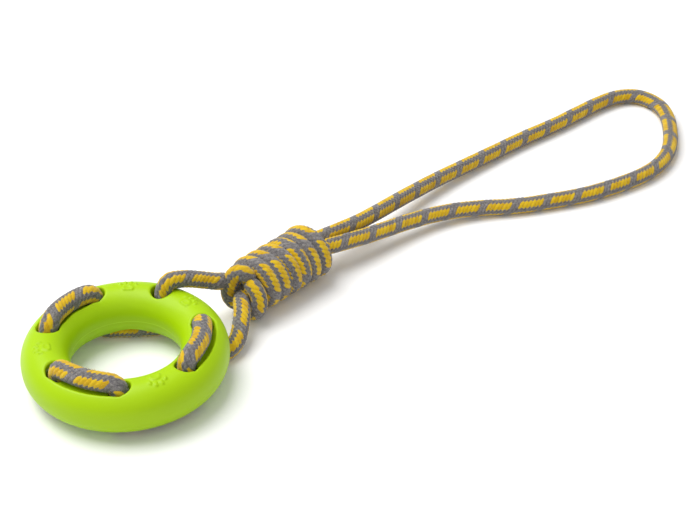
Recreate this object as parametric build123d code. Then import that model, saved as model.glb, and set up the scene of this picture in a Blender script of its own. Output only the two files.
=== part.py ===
from build123d import *
import math
import os

# Dog tug-and-throw toy: a moulded rubber ring, and one length of braided rope that is
# laced up and down through seven holes in the ring, bound into a wrapped knot, and led
# out behind the knot as a long hand loop.
# Millimetres. The origin is the centre of the ring on the ground, Z is up, and X runs
# along the toy from the ring towards the hand loop.

os.makedirs("parts", exist_ok=True)

# ---- driving dimensions -------------------------------------------------------------

# ring
ring_outer_diameter = 114.6
ring_section_width = 27.0
ring_section_height = 28.6
ring_lift = 3.0                # it stands on the rope underneath, clear of the ground

# lacing holes and the recesses that the rope lies in
hole_count = 7
hole_diameter = 12.0
first_hole_angle = 29.6        # degrees, the hole that the upper leg comes out of
recess_width = 13.6
recess_corner_radius = 3.0
groove_width = 11.8            # under the ring, where the lower leg comes out
rope_proud = 5.6               # how far the laced rope stands above the crown of the ring
top_run_inset = 0.6            # how far the middle of a top run lies inside the crown circle
bottom_run_inset = 5.2         # the same for a run underneath, which is pulled inwards
run_bend_radius = 20.0         # at the middle of a run
ground_clearance = 0.4         # between the laced rope and the ground
seat_clearance = 0.4           # between the rope and the moulding it lies in

# rope
rope_diameter = 10.0
hole_bend_radius = 7.0         # centreline, where the rope turns into and out of a hole
leg_lead = 2.0                 # straight rope in a hole before that bend

# knot
knot_yaw = 8.3                 # degrees, the way the knot's axis points on the ground
knot_outer_diameter = 34.0
wrap_count = 6
wrap_pitch = 9.8               # a wrap is squeezed a little narrower than the loose rope
wrap_valley_depth = 2.4        # between two wraps
core_gap = 0.3                 # between the wraps and the strands inside them
turn_thickness = 9.4           # the squeezed rope of the two front turns
knot_gap = 29.9                # along the knot's axis, from the ring's edge to the first wrap
knot_side_offset = -4.05       # sideways from the origin to the knot's axis
lock_turn_angles = (-30, 170)  # degrees round the knot, from the top towards the left side
tuck_turn_angles = (195, 315)

# where the rope goes between those pieces
upper_leg_rise = 6.4           # of its runs' corner above the top of the ring
upper_leg_side, upper_leg_up = 7.6, 8.6      # where it meets the knot, from the knot's axis
lower_leg_side, lower_leg_up = -13.0, -0.9
strand_gap = 0.4               # between the two strands that leave the knot
strand_up = 0.6                # of those strands above the knot's axis

# clearance that lets the rope bend where it enters and leaves the knot
bend_gap = 0.3

# ---- what follows from them -----------------------------------------------------------

rope_radius = rope_diameter / 2
ring_section_radius = ring_section_width / 2
ring_top = ring_lift + ring_section_height
ring_mid_height = ring_lift + ring_section_height / 2
ring_edge = ring_outer_diameter / 2
crown_radius = ring_edge - ring_section_radius
hole_step = 360.0 / hole_count
top_run_height = ring_top + rope_proud - rope_radius
upper_leg_peak = ring_top + upper_leg_rise
bottom_run_height = ground_clearance + rope_radius
slot_width = rope_diameter + 2 * seat_clearance

knot_axis = Vector(math.cos(math.radians(knot_yaw)), math.sin(math.radians(knot_yaw)), 0)
knot_side = Vector(-knot_axis.Y, knot_axis.X, 0)
knot_radius = knot_outer_diameter / 2
knot_height = knot_radius + ground_clearance
knot_start = ring_edge + knot_gap
knot_length = wrap_count * wrap_pitch
knot_back = knot_start + knot_length
core_radius = knot_radius - rope_diameter
turn_radius = turn_thickness / 2
turn_ring_radius = knot_radius - turn_radius


def knot_point(along, side, up):
    """A point given along the knot's axis, to its left, and above the axis."""
    base = knot_axis * along + knot_side * (knot_side_offset + side)
    return Vector(base.X, base.Y, knot_height + up)


def hole_point(index, height, radius=crown_radius):
    """A point at one of the lacing holes, which are numbered from the upper leg's hole."""
    angle = math.radians(first_hole_angle + index * hole_step)
    return Vector(radius * math.cos(angle), radius * math.sin(angle), height)


def tube(points, radii, diameter=rope_diameter):
    """A rope's stretch: straight runs joined by tangent arcs, with a round section."""
    path = FilletPolyline(*points, radius=radii)
    section = Plane(origin=path @ 0, z_dir=path % 0) * Circle(diameter / 2)
    return sweep(section, path=path), path


def corner_radii(points, share=0.45):
    """The largest arcs that the runs on both sides of each corner leave room for."""
    radii = []
    for before, here, after in zip(points, points[1:], points[2:]):
        run_in = here - before
        run_out = after - here
        turn = math.radians(run_in.get_angle(run_out))
        shorter = min(run_in.length, run_out.length)
        radii.append(share * shorter / math.tan(turn / 2))
    return radii


# ---- ring -----------------------------------------------------------------------------

# The section is round above and below a short upright band at mid height.
ring_section = Plane.XZ * Pos(crown_radius, ring_mid_height) * SlotOverall(
    ring_section_height, ring_section_width, rotation=90
)
ring = revolve(ring_section, Axis.Z)

# the plain through-holes
for index in range(hole_count):
    hole = Cylinder(hole_diameter / 2, 3 * ring_section_height)
    ring -= Pos(*hole_point(index, ring_mid_height)) * hole


def recess(index, floor_height, opening_height, inset):
    """The recess between a hole and the next one: it follows the ring's curve, and is
    cut straight beside it where the rope takes the shorter way."""
    height = abs(opening_height - floor_height)
    middle = (floor_height + opening_height) / 2
    start = first_hole_angle + index * hole_step
    profile = Plane.XZ * Pos(crown_radius, middle) * RectangleRounded(
        recess_width, height, recess_corner_radius
    )
    cut = Rot(0, 0, start) * revolve(profile, Axis.Z, revolution_arc=hole_step)
    bend = hole_point(index + 0.5, middle, crown_radius - inset)
    for end in (hole_point(index, middle), hole_point(index + 1, middle)):
        run = bend - end
        reach = run.length + slot_overrun
        heading = math.degrees(math.atan2(run.Y, run.X))
        straight = Pos(reach / 2, 0, 0) * Box(reach, slot_width, height)
        cut += Pos(*end) * Rot(0, 0, heading) * straight
    return cut


recess_overrun = 14.0
slot_overrun = 1.0
top_floor = top_run_height - rope_radius - seat_clearance
bottom_floor = bottom_run_height + rope_radius + seat_clearance
for index in range(1, hole_count - 1, 2):
    ring -= recess(index, top_floor, ring_top + recess_overrun, top_run_inset)
for index in range(0, hole_count - 1, 2):
    ring -= recess(index, bottom_floor, -recess_overrun, bottom_run_inset)

# ---- rope laced through the ring --------------------------------------------------------

upper_leg_start = hole_point(0, top_run_height - hole_bend_radius - leg_lead)
lower_leg_start = hole_point(hole_count - 1, bottom_run_height + hole_bend_radius + leg_lead)
lacing_points = [upper_leg_start]
lacing_radii = []
for index in range(hole_count):
    going_down = index % 2 == 0
    entry = top_run_height if going_down else bottom_run_height
    leave = bottom_run_height if going_down else top_run_height
    inset = bottom_run_inset if going_down else top_run_inset
    if index > 0:
        lacing_points.append(hole_point(index, entry))
        lacing_radii.append(hole_bend_radius)
    if index < hole_count - 1:
        lacing_points.append(hole_point(index, leave))
        lacing_points.append(hole_point(index + 0.5, leave, crown_radius - inset))
        lacing_radii += [hole_bend_radius, run_bend_radius]
lacing_points.append(lower_leg_start)
ring_lacing, lacing_path = tube(lacing_points, lacing_radii)

# ---- the two legs between the ring and the knot ------------------------------------------

# Both legs end round, on the line that the knot bends about.
front_bend = knot_start - turn_thickness - bend_gap - rope_radius
upper_leg_points = [
    upper_leg_start,
    hole_point(0, upper_leg_peak),
    Vector(ring_edge - 4.8, 19.5, upper_leg_peak - 1.5),
    Vector(ring_edge + 5.7, 17.5, upper_leg_peak - 6.0),
    knot_point(front_bend, upper_leg_side, upper_leg_up),
]
lower_leg_points = [
    lower_leg_start,
    hole_point(hole_count - 1, bottom_run_height),
    Vector(ring_edge - 3.8, -21.0, bottom_run_height),
    Vector(ring_edge + 4.7, -18.0, 8.0),
    Vector(ring_edge + 11.2, -12.0, 12.5),
    knot_point(front_bend, lower_leg_side, lower_leg_up),
]


def leg(points):
    """A leg that starts at the laced rope with the bend of the hole's mouth."""
    radii = [hole_bend_radius] + corner_radii(points)[1:]
    rope, path = tube(points, radii)
    return rope + Pos(*points[-1]) * Sphere(rope_radius), path, radii


upper_leg, upper_leg_path, upper_leg_radii = leg(upper_leg_points)
lower_leg, lower_leg_path, lower_leg_radii = leg(lower_leg_points)

# the groove that lets the lower leg out from under the ring
groove_start = lower_leg_points[1]
groove_run = lower_leg_points[2] - groove_start
groove_heading = math.degrees(math.atan2(groove_run.Y, groove_run.X))
groove_length = 2 * ring_section_radius
groove_round = Rot(0, 90, 0) * Cylinder(groove_width / 2, groove_length)
groove_open = Pos(0, 0, -recess_overrun / 2) * Box(groove_length, groove_width, recess_overrun)
groove = Pos(groove_length / 2, 0, 0) * (groove_round + groove_open)
ring -= Pos(*groove_start) * Rot(0, 0, groove_heading) * groove

# ---- knot -------------------------------------------------------------------------------

# Knot pieces are drawn with X along the knot's axis from the front of the first wrap.
knot_place = Location(knot_point(knot_start, 0, 0), (0, 0, knot_yaw))


def around_knot_axis(section, first_angle=0.0, last_angle=360.0):
    """Turns a section about the knot's axis. Angle 0 is the top, and 90 the left side."""
    turned = revolve(section, Axis.X, revolution_arc=last_angle - first_angle)
    return Rot(-last_angle, 0, 0) * turned


# the bound turns, from valley to valley, with rounded shoulders at both ends
valley = knot_radius - wrap_valley_depth
shoulder = knot_radius - rope_radius
edges = [Line((0, core_radius), (0, shoulder))]
for wrap in range(wrap_count):
    start = (wrap * wrap_pitch, shoulder if wrap == 0 else valley)
    crest = ((wrap + 0.5) * wrap_pitch, knot_radius)
    end = ((wrap + 1) * wrap_pitch, shoulder if wrap == wrap_count - 1 else valley)
    edges.append(ThreePointArc(start, crest, end))
edges.append(Line((knot_length, shoulder), (knot_length, core_radius)))
edges.append(Line((knot_length, core_radius), (0, core_radius)))
wrap_section = Plane.XZ * make_face(edges)
knot_wraps = knot_place * around_knot_axis(wrap_section)

# the two strands inside the wraps, pressed flat against each other
core_length = knot_length + turn_thickness
strand_radius = core_radius - core_gap
core_rod = Rot(0, 90, 0) * Cylinder(strand_radius, core_length)
core_rod = Pos((knot_length - turn_thickness) / 2, 0, 0) * core_rod
core_split = Plane.XY
core_strands = {
    "knot_strand_upper": knot_place * split(core_rod, core_split, Keep.TOP),
    "knot_strand_lower": knot_place * split(core_rod, core_split, Keep.BOTTOM),
}

# the two turns that lock the front of the knot
turn_centre = -turn_radius
turn_section = Plane.XZ * Pos(turn_centre, turn_ring_radius) * Circle(turn_radius)
knot_lock_turn = knot_place * around_knot_axis(turn_section, *lock_turn_angles)
knot_tuck_turn = knot_place * around_knot_axis(turn_section, *tuck_turn_angles)

# ---- hand loop ----------------------------------------------------------------------------

back_bend = knot_back + bend_gap + rope_radius
strand_spread = rope_radius + strand_gap / 2
loop_rest = rope_radius + ground_clearance
hand_loop_points = [
    knot_point(back_bend, -strand_spread, strand_up),
    Vector(knot_back + 20, 11.2, 16.4),
    Vector(knot_back + 36, 11.5, 14.0),
    Vector(knot_back + 64, 12.5, 10.5),
    Vector(knot_back + 92, 10, 8.0),
    Vector(knot_back + 116, 1, 6.4),
    Vector(knot_back + 138, -12, loop_rest),
    Vector(knot_back + 160, -21, loop_rest),
    Vector(knot_back + 184, -30, loop_rest),
    Vector(knot_back + 212, -34.5, loop_rest),
    Vector(knot_back + 234, -35.5, loop_rest),
    Vector(knot_back + 252, -31, loop_rest),
    Vector(knot_back + 268, -22, loop_rest),
    Vector(knot_back + 282, -9.5, loop_rest),
    Vector(knot_back + 295, 5, loop_rest),
    Vector(knot_back + 302.5, 18, loop_rest),
    Vector(knot_back + 304, 32, loop_rest),
    Vector(knot_back + 299, 42.5, loop_rest),
    Vector(knot_back + 288, 48.5, loop_rest),
    Vector(knot_back + 272, 50, loop_rest),
    Vector(knot_back + 250, 48.5, loop_rest),
    Vector(knot_back + 224, 47, loop_rest),
    Vector(knot_back + 194, 47.5, loop_rest),
    Vector(knot_back + 166, 45.5, 5.8),
    Vector(knot_back + 139, 43.5, 6.8),
    Vector(knot_back + 112, 40.5, 8.4),
    Vector(knot_back + 86, 35.5, 10.8),
    Vector(knot_back + 60, 29.5, 13.4),
    Vector(knot_back + 36, 24, 16.0),
    Vector(knot_back + 19, 23, 17.4),
    knot_point(back_bend, strand_spread, strand_up),
]
hand_loop_radii = corner_radii(hand_loop_points)
hand_loop, hand_loop_path = tube(hand_loop_points, hand_loop_radii)
for end in (hand_loop_points[0], hand_loop_points[-1]):
    hand_loop += Pos(*end) * Sphere(rope_radius)

# ---- export ---------------------------------------------------------------------------------

nodes = {
    "ring": ring,
    "ring_lacing": ring_lacing,
    "upper_leg": upper_leg,
    "lower_leg": lower_leg,
    "knot_wraps": knot_wraps,
    **core_strands,
    "knot_lock_turn": knot_lock_turn,
    "knot_tuck_turn": knot_tuck_turn,
    "hand_loop": hand_loop,
}
for name, shape in nodes.items():
    export_step(shape, f"parts/{name}.step")

ropes = {
    "ring_lacing": (ring_lacing, lacing_path, lacing_radii),
    "upper_leg": (upper_leg, upper_leg_path, upper_leg_radii),
    "lower_leg": (lower_leg, lower_leg_path, lower_leg_radii),
    "hand_loop": (hand_loop, hand_loop_path, hand_loop_radii),
}
for name, (rope, path, radii) in ropes.items():
    length = path.length
    filled = math.pi * rope_radius**2 * length
    print(name, "length", round(length, 1), "volume", round(rope.volume), round(filled))
    print("  bend radii", [round(radius, 1) for radius in radii])
front_axis = upper_leg_points[-1] - lower_leg_points[-1]
print("front bend through", lower_leg_points[-1], "along", front_axis.normalized())
print("back bend through", hand_loop_points[0], "along", knot_side)
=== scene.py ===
import math

import bpy
import numpy as np
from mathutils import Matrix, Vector


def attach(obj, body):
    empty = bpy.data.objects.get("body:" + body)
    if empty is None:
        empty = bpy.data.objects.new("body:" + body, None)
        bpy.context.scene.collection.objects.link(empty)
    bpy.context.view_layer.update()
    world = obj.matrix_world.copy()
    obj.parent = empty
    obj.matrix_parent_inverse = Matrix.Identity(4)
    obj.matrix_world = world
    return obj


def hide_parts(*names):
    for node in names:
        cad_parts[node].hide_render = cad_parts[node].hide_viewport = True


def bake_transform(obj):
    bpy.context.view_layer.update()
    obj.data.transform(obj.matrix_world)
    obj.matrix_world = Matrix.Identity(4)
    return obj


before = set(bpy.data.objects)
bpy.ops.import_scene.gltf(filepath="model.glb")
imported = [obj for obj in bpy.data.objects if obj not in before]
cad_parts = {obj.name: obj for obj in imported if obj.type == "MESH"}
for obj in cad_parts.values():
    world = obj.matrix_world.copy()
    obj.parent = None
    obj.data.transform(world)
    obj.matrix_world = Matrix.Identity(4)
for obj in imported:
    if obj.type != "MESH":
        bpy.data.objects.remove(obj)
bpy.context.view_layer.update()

# ---- hand loop -----------------------------------------------------------------------
# One length of plaited cotton rope, led out behind the knot, round at the far end and
# back into the knot, so that a hand goes through it. It lies on the ground by its own
# weight. The cover is a grey heather plait with yellow yarns in four rows.

ROPE = 0.010                   # diameter
STITCH = 0.00265               # one plait stitch along the rope
DASH, REPEAT = 6, 8            # yellow stitches in a row, out of each repeat
SLANT = 1.9                    # stitches that a wide row leans by over one row's breadth
WIDE_HALF, NARROW_HALF = 0.33, 0.25    # half the breadth of a stitch, in rows
BULGE = 0.2                    # how much broader a stitch is at its middle
ROWS = 4                       # wide rows round the rope
FIBRE_REACH = (0.0007, 0.0019)
FIBRE_RADIUS = (0.00005, 0.00009)

loop_points = [
    (151.051, 12.688, 18), (166, 11.2, 16.4), (182, 11.5, 14), (210, 12.5, 10.5),
    (238, 10, 8), (262, 1, 6.4), (284, -12, 5.4), (306, -21, 5.4), (330, -30, 5.4),
    (358, -34.5, 5.4), (380, -35.5, 5.4), (398, -31, 5.4), (414, -22, 5.4),
    (428, -9.5, 5.4), (441, 5, 5.4), (448.5, 18, 5.4), (450, 32, 5.4),
    (445, 42.5, 5.4), (434, 48.5, 5.4), (418, 50, 5.4), (396, 48.5, 5.4),
    (370, 47, 5.4), (340, 47.5, 5.4), (312, 45.5, 5.8), (285, 43.5, 6.8),
    (258, 40.5, 8.4), (232, 35.5, 10.8), (206, 29.5, 13.4), (182, 24, 16),
    (165, 23, 17.4), (149.55, 22.98, 18),
]


def route(points):
    """The smooth line that a rope takes past its control points, given in millimetres."""
    curve = bpy.data.curves.new("route", "CURVE")
    curve.dimensions = "3D"
    spline = curve.splines.new("NURBS")
    spline.points.add(len(points) - 1)
    for point, place in zip(spline.points, points):
        point.co = (*[size / 1000 for size in place], 1)
    spline.order_u = 3
    spline.use_endpoint_u = True
    spline.resolution_u = 24
    drawn = bpy.data.objects.new("route", curve)
    bpy.context.scene.collection.objects.link(drawn)
    bpy.context.view_layer.update()
    read = bpy.data.meshes.new_from_object(drawn)
    line = np.array([vertex.co for vertex in read.vertices])
    bpy.data.objects.remove(drawn)
    bpy.data.meshes.remove(read)
    bpy.data.curves.remove(curve)
    return line


def unit(vectors):
    """The same directions, each one long."""
    return vectors / np.linalg.norm(vectors, axis=-1, keepdims=True)


def longer(line, before, after):
    """A line carried straight on at its two ends."""
    start, end = unit(line[0] - line[1]), unit(line[-1] - line[-2])
    return np.vstack([line[0] + start * before, line, line[-1] + end * after])


def even(line, step):
    """A line's points an even step apart, and how far along it each one lies."""
    gaps = np.linalg.norm(np.diff(line, axis=0), axis=1)
    at = np.concatenate([[0], np.cumsum(gaps)])
    along = np.linspace(0, at[-1], round(at[-1] / step) + 1)
    return np.column_stack([np.interp(along, at, line[:, i]) for i in range(3)]), along


def outward_along(line, first):
    """For each point a direction square to the line that turns as little as it can."""
    heading = unit(np.gradient(line, axis=0))
    outward, out = np.array(first, float), []
    for ahead in heading:
        outward = unit(outward - ahead * (outward @ ahead))
        out.append(outward)
    return np.array(out), heading


def plait(stitches, rows):
    """How far the plaited cover stands up, 0 to 1. Rows of slanted stitches meet in a
    zigzag: four wide rows that may be yellow, and four narrow grey rows between."""
    row = np.round(rows)
    off = rows - row
    phase = stitches + SLANT * off
    beat = phase - np.floor(phase) - 0.5
    edge = np.abs(off) / WIDE_HALF / (1 + BULGE * np.cos(2 * np.pi * beat))
    wide = (1 - np.abs(2 * beat) ** 2.4) * np.clip(1 - edge**3, 0, 1)
    off = rows - np.floor(rows) - 0.5
    phase = stitches - 2.2 * off + 0.5
    beat = phase - np.floor(phase) - 0.5
    edge = np.abs(off) / NARROW_HALF / (1 + BULGE * np.cos(2 * np.pi * beat))
    narrow = (1 - np.abs(2 * beat) ** 2.4) * np.clip(1 - edge**3, 0, 1)
    return np.maximum(wide, 0.9 * narrow)


def fibres(points, outward, number, seed):
    """Short stray fibres that stand off the cover, as thin three-sided hairs."""
    random = np.random.default_rng(seed)
    picked = random.choice(len(points), number, replace=False)
    corners, faces = [], []
    for root, up in zip(points[picked], outward[picked]):
        lean = random.normal(size=3)
        lean = unit(lean - up * (lean @ up))
        across = np.cross(up, lean)
        reach = random.uniform(*FIBRE_REACH)
        thick = random.uniform(*FIBRE_RADIUS)
        start = len(corners)
        for part, rise in ((0, -0.15), (0.5, 0.45), (1, 0.5)):
            middle = root + up * rise * reach + lean * part * reach
            for turn in range(3):
                angle = 2 * math.pi * turn / 3
                swing = up * math.cos(angle) + across * math.sin(angle)
                corners.append(middle + swing * thick * (1 - 0.6 * part))
        for ring in (0, 3):
            for turn in range(3):
                here, there = start + ring + turn, start + ring + (turn + 1) % 3
                faces.append((here, there, there + 3, here + 3))
    return corners, faces


def rope(name, line, finishes, up=(0, 0, 1), size=(ROPE, ROPE), twist=(0, 0), first=0,
         stitch=STITCH, around=48, step=0.00034, relief=0.00044, hairs=2.0, outward=None):
    """A length of the plaited rope along a line. Size is its thickness outward and
    sideways, each one number or several spread along it; twist is how far the rows have
    turned, in rows, spread likewise; first is the stitch that it starts with. Around and
    step set the mesh, relief is the height of a stitch, and hairs are fibres per
    millimetre. Outward, or else up at the start, says where the first row lies."""
    sizes = [np.asarray(value, float) for value in size]
    spots = np.linspace(0, 1, len(line))
    points, along = even(line, step)
    share = along / along[-1]
    sizes = [np.interp(share, np.linspace(0, 1, value.size), value.ravel()) for value in sizes]
    if outward is None:
        outward, heading = outward_along(points, up)
    else:
        outward = np.column_stack([np.interp(share, spots, outward[:, i]) for i in range(3)])
        heading = unit(np.gradient(points, axis=0))
        outward = unit(outward - heading * np.sum(outward * heading, axis=1)[:, None])
    sideways = np.cross(heading, outward)
    turn = np.arange(around) / around
    rows = ROWS * turn[None, :] + np.interp(share, np.linspace(0, 1, len(twist)), twist)[:, None]
    stitches = (first + along / stitch)[:, None] + 0 * rows
    height = plait(stitches, rows)
    # the rope is a little lumpy, and rounds off at its two ends
    lumps = 0.3 * np.sin(stitches * 0.61 + 2 * np.pi * turn) * np.cos(stitches * 0.23 + 1.3)
    depth = relief * (height - 0.75 + lumps * 0.5)
    cap = np.minimum(along, along[-1] - along)
    close = np.sqrt(np.clip(1 - np.clip(1 - cap / (ROPE / 2), 0, 1) ** 2, 0.0004, 1))
    swing = outward[:, None, :] * np.cos(2 * np.pi * turn)[None, :, None] * sizes[0][:, None, None]
    swing = swing + (
        sideways[:, None, :] * np.sin(2 * np.pi * turn)[None, :, None] * sizes[1][:, None, None]
    )
    swing = swing / 2
    reach = np.linalg.norm(swing, axis=2, keepdims=True)
    normal = swing / reach
    corners = points[:, None, :] + close[:, None, None] * (swing + normal * depth[:, :, None])
    grid = np.arange(len(points) * around).reshape(-1, around)
    aside = np.roll(grid, -1, axis=1)
    quads = np.stack([grid[:-1], grid[1:], aside[1:], aside[:-1]], axis=-1).reshape(-1, 4)
    ends = [list(map(int, grid[0])), list(map(int, grid[-1][::-1]))]
    flat = corners.reshape(-1, 3)
    inner = slice(around * 12, -around * 12)
    hair_corners, hair_faces = fibres(
        flat[inner], normal.reshape(-1, 3)[inner], int(along[-1] * 1000 * hairs), len(name)
    )
    start = len(flat)
    hair_faces = [tuple(start + corner for corner in face) for face in hair_faces]
    mesh = bpy.data.meshes.new(name)
    mesh.from_pydata(
        [*flat.tolist(), *hair_corners], [], [*quads.tolist(), *ends, *hair_faces]
    )
    # where each face lies in the plait: stitches along, and rows around
    lay = mesh.uv_layers.new(name="lay")
    spread = np.zeros((len(mesh.loops), 2), np.float32)
    row_step = ROWS / around
    first_rows = np.stack([rows[:-1], rows[1:], rows[1:] + row_step, rows[:-1] + row_step], -1)
    first_along = np.stack([stitches[:-1], stitches[1:], stitches[1:], stitches[:-1]], -1)
    spread[: quads.size, 0] = first_along.reshape(-1)
    spread[: quads.size, 1] = first_rows.reshape(-1)
    lay.data.foreach_set("uv", spread.ravel())
    mesh.polygons.foreach_set("use_smooth", np.ones(len(mesh.polygons), bool))
    # the fibres wear the second finish
    which = np.zeros(len(mesh.polygons), np.int32)
    which[len(quads) + 2:] = 1
    mesh.polygons.foreach_set("material_index", which)
    for finish in finishes:
        mesh.materials.append(finish)
    mesh.update()
    piece = bpy.data.objects.new(name, mesh)
    bpy.context.scene.collection.objects.link(piece)
    return piece


class Value:
    """A number or colour that varies over a surface. Arithmetic on it adds Math nodes."""

    def __init__(self, finish, socket):
        self.finish = finish
        self.socket = socket

    def math(self, operation, *values):
        return self.finish.node("Math", {"operation": operation}, dict(enumerate(values)))

    def __add__(self, other):
        return self.math("ADD", self, other)

    def __sub__(self, other):
        return self.math("SUBTRACT", self, other)

    def __rsub__(self, other):
        return self.math("SUBTRACT", other, self)

    def __mul__(self, other):
        return self.math("MULTIPLY", self, other)

    def __truediv__(self, other):
        return self.math("DIVIDE", self, other)

    def __rtruediv__(self, other):
        return self.math("DIVIDE", other, self)

    def __pow__(self, other):
        return self.math("POWER", self, other)

    def __lt__(self, other):
        return self.math("LESS_THAN", self, other)

    def __gt__(self, other):
        return self.math("GREATER_THAN", self, other)

    def __abs__(self):
        return self.math("ABSOLUTE", self)

    def __floor__(self):
        return self.math("FLOOR", self)

    __radd__ = __add__
    __rmul__ = __mul__


class Finish:
    """A material. node() adds a node, with its settings first and then its values."""

    def __init__(self, name, sockets):
        self.material = bpy.data.materials.new(name)
        self.material.use_nodes = True
        self.tree = self.material.node_tree
        self.shader = self.tree.nodes["Principled BSDF"]
        self.wear(sockets)

    def wear(self, sockets):
        for name, value in sockets.items():
            self.feed(self.shader.inputs[name], value)

    def feed(self, socket, value):
        if isinstance(value, Value):
            self.tree.links.new(value.socket, socket)
        else:
            socket.default_value = value

    def node(self, kind, settings=None, values=None, gives=0):
        made = self.tree.nodes.new("ShaderNode" + kind)
        for name, setting in (settings or {}).items():
            if name == "stops":
                ramp = made.color_ramp.elements
                while len(ramp) < len(setting):
                    ramp.new(0.5)
                for stop, (place, colour) in zip(ramp, setting):
                    stop.position = place
                    stop.color = (*colour, 1)
            else:
                setattr(made, name, setting)
        for name, value in (values or {}).items():
            self.feed(made.inputs[name], value)
        return Value(self, made.outputs[gives])

    def mix(self, share, under, over):
        settings = {"data_type": "RGBA"}
        return self.node("Mix", settings, {0: share, 6: under, 7: over}, 2)

    def noise(self, place, scale, detail=2.0, roughness=0.5):
        values = {"Vector": place, "Scale": scale, "Detail": detail, "Roughness": roughness}
        return self.node("TexNoise", None, values)


def plaited_cover(name):
    """Heathered grey cotton with yellow yarns, told apart by the place in the plait."""
    cover = Finish(name, {"Roughness": 0.88, "Sheen Weight": 0.25, "Sheen Roughness": 0.5,
                          "Specular IOR Level": 0.25})
    lay = cover.node("UVMap", {"uv_map": "lay"})
    stitches = cover.node("SeparateXYZ", None, {0: lay})
    rows = Value(cover, stitches.socket.node.outputs[1])
    place = cover.node("TexCoord", None, None, "Object")
    row = rows.math("ROUND", rows)
    off = rows - row
    phase = stitches + SLANT * off
    number = math.floor(phase)
    beat = phase - number - 0.5
    wave = beat.math("COSINE", beat * (2 * math.pi))
    edge = abs(off) / WIDE_HALF / (1 + BULGE * wave)
    turned = number + 2 * row
    step = turned.math("FLOORED_MODULO", turned, float(REPEAT))
    fuzz = cover.noise(place, 1100.0, 3.0, 0.75)
    inside = (edge + 0.9 * (fuzz - 0.5)) < 0.84
    dash = (step < (DASH - 0.5)) * inside
    # fibres of each yarn, drawn out along its slant
    drawn = cover.node("CombineXYZ", None, {0: phase * 2.2, 1: off * 42.0, 2: row * 3.1 + number})
    strand = cover.noise(drawn, 1.0, 3.0, 0.65)
    fleck = cover.noise(place, 700.0, 3.0, 0.85)
    yarn = cover.node("TexWhiteNoise", {"noise_dimensions": "2D"},
                      {"Vector": cover.node("CombineXYZ", None, {0: number, 1: row})})
    heather = strand * 0.45 + fleck * 0.55
    grey = cover.node("ValToRGB", {"stops": [
        (0.28, (0.052, 0.049, 0.052)), (0.43, (0.136, 0.127, 0.127)),
        (0.56, (0.265, 0.246, 0.236)), (0.72, (0.560, 0.535, 0.510))]}, {0: heather})
    yellow = cover.node("ValToRGB", {"stops": [
        (0.28, (0.420, 0.230, 0.003)), (0.45, (0.640, 0.395, 0.005)),
        (0.60, (0.740, 0.500, 0.010)), (0.78, (0.860, 0.660, 0.090))]},
        {0: heather * 0.8 + yarn * 0.18})
    # painted shade: towards the stitch ends and the row edges, the crevices of the plait, the
    # colour is mixed towards near-black grey or deep yellow, standing in for the shade that falls
    # there
    groove = beat.math("POWER", abs(beat) * 2, 5.0)
    rim = edge.math("MINIMUM", edge.math("POWER", edge, 8.0), 1.0)
    painted_crevice_shade = 0.55 * groove + 0.25 * rim
    colour = cover.mix(dash, grey, yellow)
    crevice_shade_colour = cover.mix(dash, (0.03, 0.03, 0.04, 1), (0.42, 0.20, 0.002, 1))
    colour = cover.mix(painted_crevice_shade * 0.75, colour, crevice_shade_colour)
    bump = cover.node("Bump", None, {"Strength": 0.8, "Distance": 0.00032,
                                     "Height": strand * 0.6 + fuzz * 0.6})
    cover.wear({"Base Color": colour, "Normal": bump})
    return cover.material


def stray_yarn(name):
    """The loose hairs of the cover, grey with some yellow among them."""
    hair = Finish(name, {"Roughness": 0.8})
    place = hair.node("TexCoord", None, None, "Object")
    patch = hair.noise(place, 240.0)
    colour = hair.mix(patch > 0.53, (0.28, 0.28, 0.31, 1), (0.72, 0.47, 0.03, 1))
    hair.wear({"Base Color": colour})
    return hair.material


rope_finishes = [plaited_cover("plaited_cover"), stray_yarn("stray_yarn")]
loop_line = route(loop_points)
hand_loop = rope("rope_hand_loop", longer(loop_line, 0.005, 0.005), rope_finishes,
                 twist=(0.38, 0.38, 0.5, 0.8, 0.8, 0.8), around=44, step=0.00037)
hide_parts("hand_loop")
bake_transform(hand_loop)

# ---- ring ------------------------------------------------------------------------------
# A solid thermoplastic rubber ring, moulded in one piece in lime green with a satin skin.
# Seven plain holes go through it, joined by open recesses that the laced rope lies in,
# three on top and three underneath. Plain paw prints stand up between the top recesses.

RING_RADIUS = 43.8             # to the middle of the section
SECTION_RADIUS = 13.5
UPRIGHT_BAND = 1.6
RING_MIDDLE = 17.3             # it stands on the rope underneath, clear of the floor
HOLE_RADIUS = 6.0
HOLE_STEP = math.tau / 7
FIRST_HOLE = math.radians(29.6)
RECESS_HALF = 6.3
SLOT_HALF = 5.3
TOP_FLOOR, UNDER_CEILING = 26.8, 10.8
TOP_INSET, UNDER_INSET = 0.6, 5.2      # of the middle of a run, from the holes' circle
RECESS_CORNER, EDGE = 3.0, 1.7         # rounds within a recess, and on the edges
TOP_RUN, UNDER_RUN = 32.6, 5.4         # the middle of the laced rope over the ground
GROOVE_RADIUS, GROOVE_END = 5.9, (53.5, -21.0)
PAW_RADIUS, PAW_HEIGHT = 44.9, 0.6


def hole_place(index, height, inset=0.0):
    """The middle of a lacing hole at some height, in millimetres."""
    angle = FIRST_HOLE + index * HOLE_STEP
    radius = RING_RADIUS - inset
    return (radius * math.cos(angle), radius * math.sin(angle), height)


def eased_max(one, other, ease):
    """The larger of two distances, with the corner between them rounded over."""
    near = np.clip(ease - np.abs(one - other), 0, None) / ease
    return np.maximum(one, other) + near**2 * ease / 4


def rounded_meet(one, other, radius):
    """Where two walls meet inside, with a round of that radius."""
    a, b = one + radius, other + radius
    return (
        np.minimum(np.maximum(a, b), 0)
        + np.hypot(np.maximum(a, 0), np.maximum(b, 0))
        - radius
    )


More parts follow.
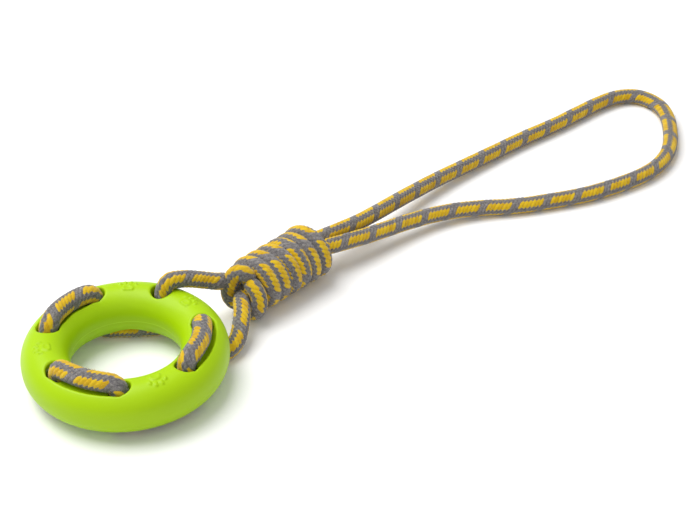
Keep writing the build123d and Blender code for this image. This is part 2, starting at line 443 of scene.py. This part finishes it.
# parts of a paw print: how far out, how far aside, length, breadth and lean
PAW_PAD = ((-2.2, 0, 3.0, 3.6, 0), (-3.2, 2.0, 1.8, 2.0, 0), (-3.2, -2.0, 1.8, 2.0, 0))
PAW_HOLLOW = ((-2.6, 0, 1.8, 2.4, 0),)
PAW_TOES = ((2.9, 1.6, 1.9, 1.15, 0), (2.9, -1.6, 1.9, 1.15, 0),
            (1.2, 4.3, 1.8, 1.1, -0.3), (1.2, -4.3, 1.8, 1.1, 0.3))


def paw_print(out, aside):
    """A plain paw, 0 to 1: one broad pad towards the ring's middle, and four toes. The
    pad is a low bank with a hollow in it."""
    def domes(parts, steep):
        highest = -np.inf
        for out_at, aside_at, long, wide, lean in parts:
            a = (out - out_at) + lean * (aside - aside_at)
            b = (aside - aside_at) - lean * (out - out_at)
            highest = np.maximum(highest, 1 - np.hypot(a / long, b / wide))
        return np.clip(highest * steep, 0, 1)
    pad = domes(PAW_PAD, 3.2) - 0.55 * domes(PAW_HOLLOW, 3.0)
    return np.maximum(pad, domes(PAW_TOES, 3.2))


def moulding(x, y, z):
    """How far a point lies outside the rubber, in millimetres."""
    radius, angle = np.hypot(x, y), np.arctan2(y, x)
    out = radius - RING_RADIUS
    body = np.hypot(out, np.maximum(np.abs(z - RING_MIDDLE) - UPRIGHT_BAND / 2, 0))
    body = body - SECTION_RADIUS
    for gap in (0, 2, 4, 6):
        middle = FIRST_HOLE + (gap + 0.5) * HOLE_STEP
        turned = (angle - middle + math.pi) % math.tau - math.pi
        raised = paw_print(radius - PAW_RADIUS, turned * PAW_RADIUS)
        raised = raised**2 * (3 - 2 * raised)
        body = body - PAW_HEIGHT * raised * (z > RING_MIDDLE)
    solid = body
    for index in range(6):
        middle = FIRST_HOLE + (index + 0.5) * HOLE_STEP
        turned = (angle - middle + math.pi) % math.tau - math.pi
        wall = np.abs(out) - RECESS_HALF
        bend = hole_place(index + 0.5, 0, TOP_INSET if index % 2 else UNDER_INSET)
        for end in (hole_place(index, 0), hole_place(index + 1, 0)):
            run_x, run_y = bend[0] - end[0], bend[1] - end[1]
            share = ((x - end[0]) * run_x + (y - end[1]) * run_y) / (run_x**2 + run_y**2)
            share = np.clip(share, 0, 1)
            beside = np.hypot(x - end[0] - share * run_x, y - end[1] - share * run_y)
            wall = np.minimum(wall, beside - SLOT_HALF)
        floor = TOP_FLOOR - z if index % 2 else z - UNDER_CEILING
        cut = rounded_meet(wall, floor, RECESS_CORNER)
        cut = np.maximum(cut, (np.abs(turned) - HOLE_STEP / 2) * radius)
        solid = eased_max(solid, -cut, EDGE)
    for index in range(7):
        cx, cy, _ = hole_place(index, 0)
        solid = eased_max(solid, HOLE_RADIUS - np.hypot(x - cx, y - cy), EDGE)
    # the groove that lets the lower leg of the rope out from under the ring
    gx, gy, _ = hole_place(6, 0)
    ahead_x, ahead_y = GROOVE_END[0] - gx, GROOVE_END[1] - gy
    run = math.hypot(ahead_x, ahead_y)
    ahead_x, ahead_y = ahead_x / run, ahead_y / run
    along = (x - gx) * ahead_x + (y - gy) * ahead_y
    aside = (y - gy) * ahead_x - (x - gx) * ahead_y
    groove = np.hypot(aside, np.maximum(z - UNDER_RUN, 0)) - GROOVE_RADIUS
    groove = np.maximum(groove, -along)
    return eased_max(solid, -groove, EDGE)


def skin(distance, low, high, step):
    """A skin of quads where a distance is nought, with a corner in each cell it passes."""
    axes = [np.arange(a, b + step, step) for a, b in zip(low, high)]
    grid = np.meshgrid(*axes, indexing="ij")
    value = distance(*grid)
    inside = value < 0
    shape = np.array(value.shape) - 1
    corners = [(i, j, k) for i in (0, 1) for j in (0, 1) for k in (0, 1)]

    def at(array, corner):
        return array[tuple(slice(c, c + n) for c, n in zip(corner, shape))]

    filled = sum(at(inside, corner).astype(int) for corner in corners)
    cells = np.argwhere((filled > 0) & (filled < 8))
    number = -np.ones(shape, int)
    number[tuple(cells.T)] = np.arange(len(cells))
    total, hits = np.zeros((len(cells), 3)), np.zeros(len(cells))
    for start in corners:
        for axis in range(3):
            if start[axis]:
                continue
            ahead = np.array(start)
            ahead[axis] = 1
            one = value[tuple((cells + start).T)]
            two = value[tuple((cells + ahead).T)]
            crossed = (one < 0) != (two < 0)
            part = np.where(crossed, one / np.where(crossed, one - two, 1), 0)
            spot = cells + np.array(start, float)
            spot[:, axis] += part
            total += spot * crossed[:, None]
            hits += crossed
    points = np.array(low) + step * total / hits[:, None]
    quads = []
    for axis in range(3):
        b, c = (axis + 1) % 3, (axis + 2) % 3
        window = [slice(1, n) for n in shape]
        window[axis] = slice(0, shape[axis])
        beyond = list(window)
        beyond[axis] = slice(1, shape[axis] + 1)
        one, two = inside[tuple(window)], inside[tuple(beyond)]
        edges = np.argwhere(one != two)
        leaving = one[tuple(edges.T)]
        base = edges.copy()
        base[:, b] += 1
        base[:, c] += 1
        around = []
        for db, dc in ((-1, -1), (0, -1), (0, 0), (-1, 0)):
            cell = base.copy()
            cell[:, b] += db
            cell[:, c] += dc
            around.append(number[tuple(cell.T)])
        faces = np.stack(around, axis=1)
        faces[~leaving] = faces[~leaving][:, ::-1]
        quads.append(faces)
    quads = np.vstack(quads)
    # each corner is drawn in until it lies on the surface itself
    small = 0.02
    for _ in range(4):
        value = distance(*points.T)
        slope = np.zeros_like(points)
        for axis in range(3):
            shift = np.zeros(3)
            shift[axis] = small
            slope[:, axis] = distance(*(points + shift).T) - distance(*(points - shift).T)
        slope /= 2 * small
        size = np.sum(slope**2, axis=1)
        points = points - slope * (0.9 * value / np.maximum(size, 0.3))[:, None]
    return points, quads


corners, quads = skin(moulding, (-59, -59, 1), (59, 59, 34), 0.65)
mesh = bpy.data.meshes.new("ring_moulding")
mesh.from_pydata((corners / 1000).tolist(), [], quads.tolist())
mesh.polygons.foreach_set("use_smooth", np.ones(len(mesh.polygons), bool))
mesh.update()
ring = bpy.data.objects.new("ring_moulding", mesh)
bpy.context.scene.collection.objects.link(ring)

rubber = Finish("lime_rubber", {"Roughness": 0.36, "Specular IOR Level": 0.22})
place = rubber.node("TexCoord", None, None, "Object")
cloud = rubber.noise(place, 28.0, 2.0)
grain = rubber.noise(place, 1800.0, 3.0, 0.6)
lime = rubber.mix(cloud, (0.350, 0.575, 0.001, 1), (0.395, 0.625, 0.001, 1))
specks = rubber.node("TexVoronoi", {"feature": "F1"}, {"Vector": place, "Scale": 110.0})
picked = Value(rubber, specks.socket.node.outputs["Color"])
chosen = rubber.node("SeparateXYZ", None, {0: picked}) > 0.93
dirt = (specks < 0.035) * chosen
lime = rubber.mix(dirt * 0.6, lime, (0.10, 0.20, 0.01, 1))
axes = rubber.node("SeparateXYZ", None, {0: place})
height = Value(rubber, axes.socket.node.outputs[2])
across, deep = axes, Value(rubber, axes.socket.node.outputs[1])
radius = (across * across + deep * deep) ** 0.5
# the moulded seam round the inner wall: a real low ridge, raised in the bump, and along it a
# painted highlight, with the lime mixed towards a lighter green
seam_and_highlight = abs(height - 0.0165) / 0.00035
seam_and_highlight = rubber.node("Math", {"operation": "SUBTRACT", "use_clamp": True}, {0: 1.0, 1: seam_and_highlight})
seam_and_highlight = seam_and_highlight * (radius < 0.0415)
lime = rubber.mix(seam_and_highlight * 0.6, lime, (0.60, 0.86, 0.06, 1))
relief = grain * 0.35 + cloud * 0.1 + seam_and_highlight * 3.0
bump = rubber.node("Bump", None, {"Strength": 0.22, "Distance": 0.0002, "Height": relief})
rubber.wear({"Base Color": lime, "Roughness": 0.33 + 0.10 * grain + 0.06 * cloud,
             "Normal": bump})
mesh.materials.append(rubber.material)
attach(ring, "ring")
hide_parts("ring")

# ---- laced rope --------------------------------------------------------------------------
# The same rope, sewn up and down through the seven holes. It stands a little proud of the
# ring in the three top recesses, and lies within the three recesses underneath.


def lacing_run(index, rising):
    """The control points of one run of rope from a hole to the next one. A run on top
    follows the ring's curve, and one underneath is pulled in towards the middle."""
    level = TOP_RUN if rising else UNDER_RUN
    mouth = level - 6.0 if rising else level + 6.0
    inset = TOP_INSET if rising else UNDER_INSET
    points = [hole_place(index, mouth)]
    for share, part in ((0.055, 0.3), (0.25, 0.75), (0.5, 1.05), (0.75, 0.75), (0.945, 0.3)):
        height = level - (0.9 if abs(share - 0.5) > 0.4 and rising else 0)
        points.append(hole_place(index + share, height, inset * part + (1 - part) * 0.8))
    return [*points, hole_place(index + 1, mouth)]


lacing_points = [hole_place(0, 23.0)]
for index in range(6):
    lacing_points += lacing_run(index, bool(index % 2))
lacing_points.append(hole_place(6, 14.4))
lacing_line = longer(route(lacing_points), 0.003, 0.003)
# the cover swells where nothing presses on it
crown = np.clip((lacing_line[:, 2] * 1000 - 24) / 7, 0, 1)
swollen = ROPE * (0.99 + 0.10 * crown)
lacing = rope("rope_lacing", lacing_line, rope_finishes, size=(swollen, swollen),
              up=(1, 0, 0), twist=(0.4, 0.4), around=52, step=0.00032)
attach(lacing, "ring")
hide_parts("ring_lacing")

# ---- the two legs between the ring and the knot --------------------------------------------
# The two ends of the lacing come out of the ring and go into the front of the knot: one
# over the top of the ring, and one out from under it.

KNOT_YAW = math.radians(8.3)
knot_along = np.array([math.cos(KNOT_YAW), math.sin(KNOT_YAW), 0])
knot_aside = np.array([-math.sin(KNOT_YAW), math.cos(KNOT_YAW), 0])
KNOT_START, KNOT_OFFSET, KNOT_MIDDLE = 86.0, -4.05, 17.9


def in_knot(along, side, up):
    """A point from the first wrap's front along the knot, to its left, and above it."""
    spot = knot_along * (KNOT_START + along) + knot_aside * (KNOT_OFFSET + side)
    return (*spot[:2], KNOT_MIDDLE + up)


upper_leg_points = [
    hole_place(0, 23.0), (39.6, 21.3, 36.4), (52.0, 20.0, 34.2), (62.0, 18.0, 29.8),
    in_knot(-13.5, 7.8, 8.6), in_knot(-7.3, 10.4, 4.4), in_knot(-1.3, 9.2, 0.6),
    in_knot(5.2, 3.0, 0.0),
]
lower_leg_points = [
    hole_place(6, 14.4), hole_place(6, UNDER_RUN), (*GROOVE_END, UNDER_RUN), (62.0, -18.0, 8.0),
    (68.5, -12.0, 12.0), in_knot(-13.5, -12.5, -2.5), in_knot(-8.3, -5.5, -2.6),
    in_knot(-1.8, -0.5, -3.0), in_knot(5.2, 0.0, -2.0),
]
for name, points, twist, solid in (
    ("rope_upper_leg", upper_leg_points, (0.5, 0.5), "upper_leg"),
    ("rope_lower_leg", lower_leg_points, (0.3, 0.3), "lower_leg"),
):
    leg = rope(name, route(points), rope_finishes, up=(1, 0, 0), twist=twist, around=52)
    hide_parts(solid)
    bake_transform(leg)

# ---- knot ----------------------------------------------------------------------------------
# The rope's own turns, pulled tight: six wraps side by side round the two strands, and two
# turns at the front that lock them. The wraps are pressed narrower than the loose rope.

WRAPS, WRAP_PITCH = 6, 10.1
WRAP_RADIUS = 12.0             # to the middle of the wrapped rope


def turns_round(sweep, radius_at, along_at, start, steps=220):
    """A line round the knot. Angles are in turns from the top, towards the left side."""
    part = np.linspace(0, 1, steps)
    angle = math.tau * (start + sweep * part)
    radius, along = radius_at(part), along_at(part)
    out = np.outer(np.sin(angle), knot_aside) + np.outer(np.cos(angle), (0, 0, 1))
    middle = np.outer(KNOT_START + along, knot_along) + knot_aside * KNOT_OFFSET
    middle[:, 2] += KNOT_MIDDLE
    return (middle + out * radius[:, None]) / 1000, out


LAST_SWELL = 0.8               # how far the last wrap stands out at the top


def wrap_radius(part):
    turn = part * (WRAPS + 0.2)
    last = np.clip(turn - (WRAPS - 1.1), 0, 1)
    front = np.clip(1 - turn / 0.16, 0, 1)
    tuck = np.clip((turn - (WRAPS - 0.05)) / 0.25, 0, 1)
    return WRAP_RADIUS + LAST_SWELL * np.sin(math.pi * last) ** 2 - 4 * tuck**2 - 3 * front**2


def wrap_along(part):
    turn = part * (WRAPS + 0.2)
    uneven = 0.35 * np.sin(2.3 * turn + 0.6) * np.clip(turn, 0, 1) * np.clip(WRAPS - turn, 0, 1)
    return 4.0 + np.clip(turn / WRAPS, 0, 1) * WRAP_PITCH * (WRAPS - 1) + uneven


# seen from the front the wraps run on the same way as the two turns that lock them
line, out = turns_round(-(WRAPS + 0.2), wrap_radius, wrap_along, -0.42, 1500)
wraps = rope("knot_bound_wraps", line, rope_finishes, size=(ROPE * 1.01, 0.0106), outward=out,
             twist=(0, 0.02, 0, 0, 0.35, 0.5, 0.12, 0, 0), first=4.2, hairs=1.1,
             stitch=math.tau * WRAP_RADIUS / 1000 / 31.3, around=52, step=0.00036)
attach(wraps, "knot")
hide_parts("knot_wraps")

lock_points = [
    in_knot(3.0, 0.0, 3.0), in_knot(1.8, -1.6, 8.2), in_knot(0.2, -1.6, 11.6),
    in_knot(-1.8, 0.8, 13.0), in_knot(-4.0, 3.8, 11.0), in_knot(-6.0, 5.2, 6.0),
    in_knot(-6.6, 6.4, -1.4), in_knot(-5.2, 6.2, -7.6), in_knot(-3.4, 2.0, -9.4),
    in_knot(0.7, -1.0, -7.0),
]
lock_turn = rope("knot_front_lock", route(lock_points), rope_finishes, up=(-0.5, -0.3, 0.8),
                 size=(0.0100, 0.0100), twist=(0.55, 0.55), first=1.0, around=52)
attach(lock_turn, "knot")
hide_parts("knot_lock_turn")

tuck_points = [
    in_knot(1.5, -2.5, 4.5), in_knot(-0.4, -6.5, 6.6), in_knot(-0.2, -11.6, 3.0),
    in_knot(-0.8, -13.8, -3.4), in_knot(-1.4, -11.0, -10.2), in_knot(-1.8, -5.0, -12.6),
    in_knot(-0.8, 2.0, -11.0),
]
tuck_turn = rope("knot_front_tuck", route(tuck_points), rope_finishes, up=(-0.5, -0.8, 0.2),
                 size=(0.0098, 0.0098), twist=(0.1, 0.1), first=1.0, around=52)
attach(tuck_turn, "knot")
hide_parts("knot_tuck_turn")

for name, side, solid in (("knot_strand_right", -1, "knot_strand_lower"),
                          ("knot_strand_left", 1, "knot_strand_upper")):
    points = [in_knot(-4.0, side * 3.2, 0), in_knot(24.0, side * 3.2, 0),
              in_knot(52.0, side * 3.4, 0.2), in_knot(58.0, side * 5.0, 0.5),
              in_knot(65.0, side * 5.2, 0.6)]
    strand = rope(name, route(points), rope_finishes, hairs=0.2, around=44,
                  size=([0.0096, 0.0096, 0.0096], [0.0066, 0.0066, 0.0066, 0.0096]))
    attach(strand, "knot")
    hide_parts(solid)

# ---- floor, light and camera ------------------------------------------------------------------
# A plain white floor, one large soft lamp above and behind on the left, and pale light all
# round. The camera looks down along the toy from the ring's end.

floor_mesh = bpy.data.meshes.new("floor")
floor_mesh.from_pydata([(-6, -6, 0), (6, -6, 0), (6, 6, 0), (-6, 6, 0)], [], [(0, 1, 2, 3)])
floor = bpy.data.objects.new("floor", floor_mesh)
bpy.context.scene.collection.objects.link(floor)
paper = Finish("white_floor", {"Base Color": (0.93, 0.93, 0.93, 1), "Roughness": 0.9,
                               "Specular IOR Level": 0.0, "Emission Strength": 1.0})
seen = paper.node("LightPath", None, None, "Is Camera Ray")
paper.wear({"Emission Color": paper.mix(seen, (0, 0, 0, 1), (0.04, 0.038, 0.034, 1))})
floor_mesh.materials.append(paper.material)

world = bpy.data.worlds.new("studio")
world.use_nodes = True
bpy.context.scene.world = world
sky = world.node_tree.nodes["Background"]
sky.inputs["Color"].default_value = (1, 1, 1, 1)
sky.inputs["Strength"].default_value = 0.46


def lamp(name, place, aim, size, power):
    """A square soft lamp that faces a point."""
    light = bpy.data.lights.new(name, "AREA")
    light.size = size
    light.energy = power
    made = bpy.data.objects.new(name, light)
    made.location = place
    made.rotation_mode = "QUATERNION"
    made.rotation_quaternion = (Vector(aim) - Vector(place)).to_track_quat("-Z", "Y")
    bpy.context.scene.collection.objects.link(made)


lamp("key", (-0.35, 0.70, 1.85), (0.18, 0, 0), 1.7, 47)
lamp("fill", (-0.9, -1.1, 1.6), (0.18, 0, 0), 1.4, 3)

camera = bpy.data.objects.new("camera", bpy.data.cameras.new("camera"))
camera.data.sensor_width = 36
camera.data.lens = 83.44
camera.data.clip_start = 0.05
camera.data.clip_end = 50
camera.location = (-0.33305, -0.62704, 0.5779)
camera.rotation_mode = "QUATERNION"
camera.rotation_quaternion = Vector((0.5012, 0.6415, -0.5807)).to_track_quat("-Z", "Y")
bpy.context.scene.collection.objects.link(camera)
bpy.context.scene.camera = camera
bpy.context.scene.view_settings.view_transform = "Standard"
